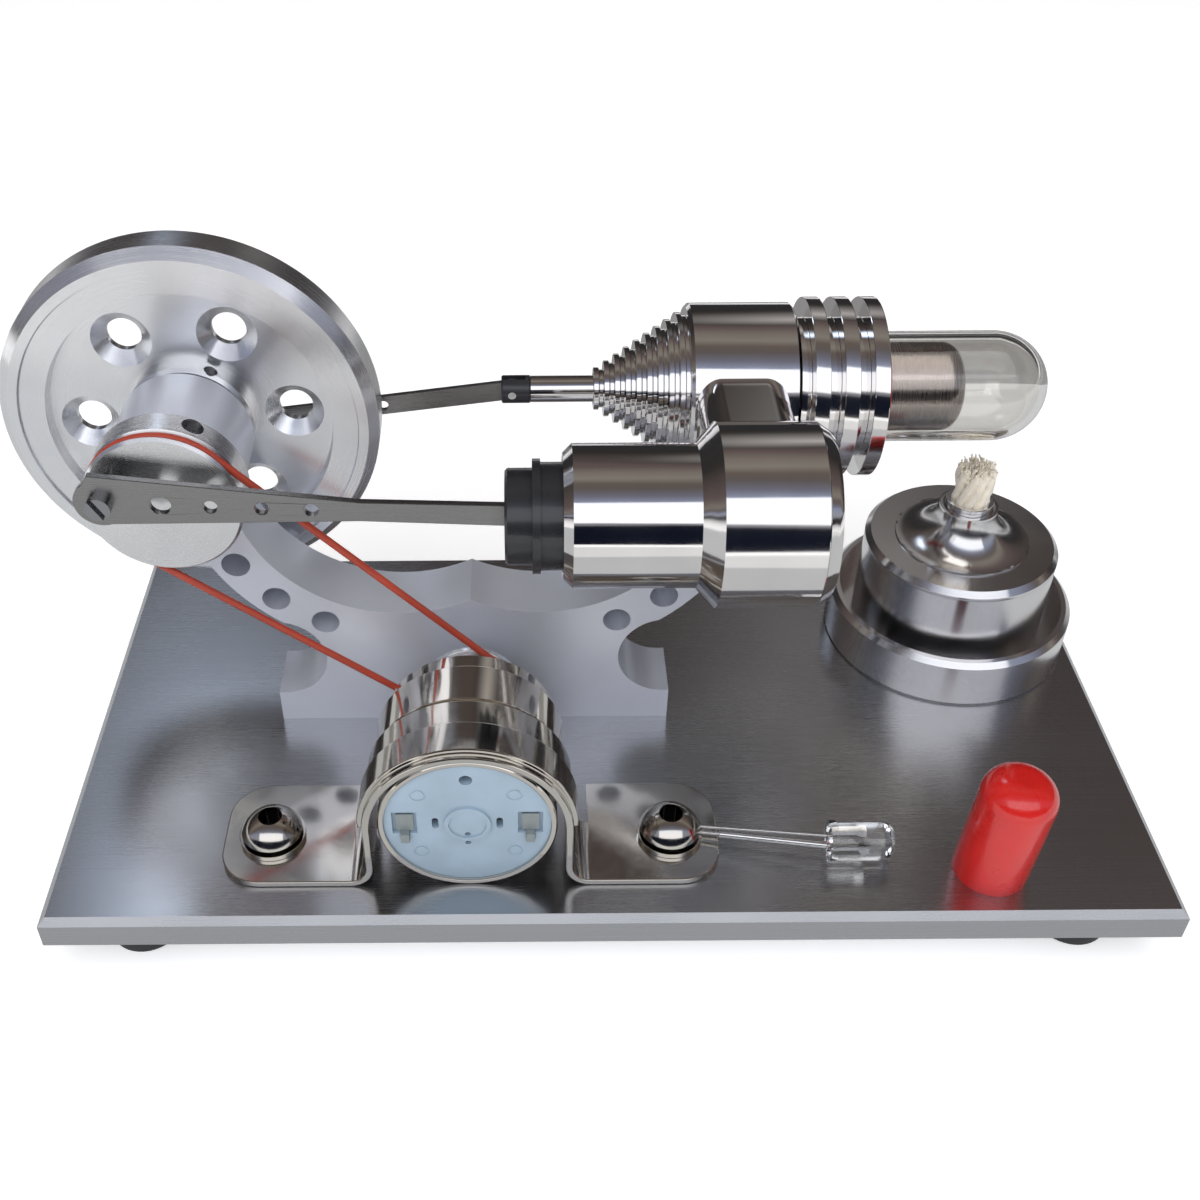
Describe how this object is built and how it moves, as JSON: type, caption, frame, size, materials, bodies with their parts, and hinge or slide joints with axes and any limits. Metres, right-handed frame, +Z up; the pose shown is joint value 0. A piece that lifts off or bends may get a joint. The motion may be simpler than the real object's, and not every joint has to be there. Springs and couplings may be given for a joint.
{
  "type": "hot-air engine model",
  "caption": "Small hot-air engine on a steel base plate, with a flywheel, crank disc, belt-driven generator, glass displacer tube, lamp and spirit burner.",
  "frame": {"origin": "middle of the engine's outline seen from above, at the height that its rubber feet stand on", "axes": "+X along the base plate from the flywheel to the burner, +Y from the generator's side towards the displacer cylinder's side, +Z up"},
  "size_m": [0.1678, 0.082, 0.0866],
  "materials": {
    "plate_steel": "brushed",
    "black_rubber": "matte",
    "dark_screw": "satin",
    "frame_aluminium": "bead blasted",
    "bearing_steel": "polished",
    "polished_steel": "polished",
    "gland_bronze": "satin",
    "heat_glass": "clear",
    "seal_rubber": "matte",
    "red_rubber": "satin",
    "can_steel": "satin",
    "cap_plastic": "satin",
    "terminal_brass": "satin",
    "magnet_ferrite": "matte",
    "strap_nickel": "polished",
    "lamp_plastic": "clear",
    "lead_wire": "tinned",
    "sleeve_plastic": "gloss",
    "turned_steel": "fine turned",
    "wheel_steel": "fine turned",
    "core_steel": "satin",
    "winding_copper": "gloss",
    "piston_black": "satin",
    "rod_steel": "satin",
    "fork_black": "satin",
    "burner_chrome": "polished",
    "wick_cotton": "matte",
    "cap_vinyl": "gloss"
  },
  "bodies": {
    "engine_base": {"base_plate": "plate_steel", "rubber_feet": "black_rubber", "foot_screws": "dark_screw", "engine_frame": "frame_aluminium", "frame_screws": "dark_screw", "bearing_outer_rings": "bearing_steel", "bearing_balls": "bearing_steel", "connecting_block": "polished_steel", "block_screws": "dark_screw", "power_cylinder": "polished_steel", "power_cylinder_head": "polished_steel", "displacer_cylinder": "polished_steel", "gland_bush": "gland_bronze", "glass_tube": "heat_glass", "glass_seals": "seal_rubber", "drive_belt": "red_rubber", "motor_can": "can_steel", "motor_end_cap": "cap_plastic", "motor_terminals": "terminal_brass", "motor_bearings": "gland_bronze", "motor_magnets": "magnet_ferrite", "motor_brushes": "terminal_brass", "motor_strap": "strap_nickel", "strap_screws": "strap_nickel", "strap_washers": "strap_nickel", "lamp_lens": "lamp_plastic", "lamp_leads": "lead_wire", "lead_sleeve": "sleeve_plastic"},
    "crank_assembly": {"crank_disc": "turned_steel", "crank_grub_screw": "dark_screw", "crankshaft": "turned_steel", "flywheel": "wheel_steel", "flywheel_grub_screw": "dark_screw", "bearing_inner_rings": "bearing_steel", "shaft_spacers": "turned_steel"},
    "generator_rotor": {"motor_core": "core_steel", "motor_windings": "winding_copper", "motor_commutator": "winding_copper", "motor_shaft": "turned_steel", "motor_pulley": "turned_steel"},
    "power_piston_unit": {"power_piston": "piston_black", "wrist_pin": "turned_steel"},
    "power_rod_unit": {"power_rod": "rod_steel", "crank_screw": "dark_screw", "crank_washer": "rod_steel"},
    "displacer_unit": {"displacer_shell": "polished_steel", "displacer_plug": "turned_steel", "displacer_shaft": "turned_steel", "shaft_fork": "fork_black", "fork_pin": "turned_steel"},
    "displacer_rod_unit": {"displacer_rod": "rod_steel", "displacer_crank_screw": "dark_screw"},
    "spirit_burner": {"burner_foot": "burner_chrome", "burner_pot": "burner_chrome", "burner_lid": "burner_chrome", "wick_tube": "burner_chrome", "wick": "wick_cotton"},
    "wick_snuffer": {"snuffer_cap": "cap_vinyl"}
  },
  "joints": [
    {"name": "crank_spin", "type": "hinge", "parent": "engine_base", "child": "crank_assembly", "pos_m": [-0.0565, 0.004, 0.0592], "axis": [0, 1, 0], "continuous": true},
    {"name": "generator_spin", "type": "hinge", "parent": "engine_base", "child": "generator_rotor", "pos_m": [-0.0161, -0.024, 0.0239], "axis": [0, 1, 0], "continuous": true},
    {"name": "power_piston_slide", "type": "slide", "parent": "engine_base", "child": "power_piston_unit", "axis": [1, 0, 0], "range_m": [-0.0005, 0.0149]},
    {"name": "power_rod_swing", "type": "hinge", "parent": "power_piston_unit", "child": "power_rod_unit", "pos_m": [-0.00011, -0.012, 0.0592], "axis": [0, 1, 0], "range_deg": [-9.55, 4.35]},
    {"name": "displacer_slide", "type": "slide", "parent": "engine_base", "child": "displacer_unit", "axis": [1, 0, 0], "range_m": [-0.00385, 0.00975]},
    {"name": "displacer_rod_swing", "type": "hinge", "parent": "displacer_unit", "child": "displacer_rod_unit", "pos_m": [-0.00975, 0.0205, 0.0592], "axis": [0, 1, 0], "range_deg": [-0.58, 15.15]},
    {"name": "burner_slide", "type": "slide", "parent": "engine_base", "child": "spirit_burner", "axis": [0, -1, 0], "range_m": [0, 0.028]},
    {"name": "snuffer_lift", "type": "slide", "parent": "engine_base", "child": "wick_snuffer", "axis": [0, 0, 1], "range_m": [0, 0.03]}
  ],
  "couplings": [
    {"joint": "generator_spin", "follows": "crank_spin", "ratio": 1.5682}
  ]
}
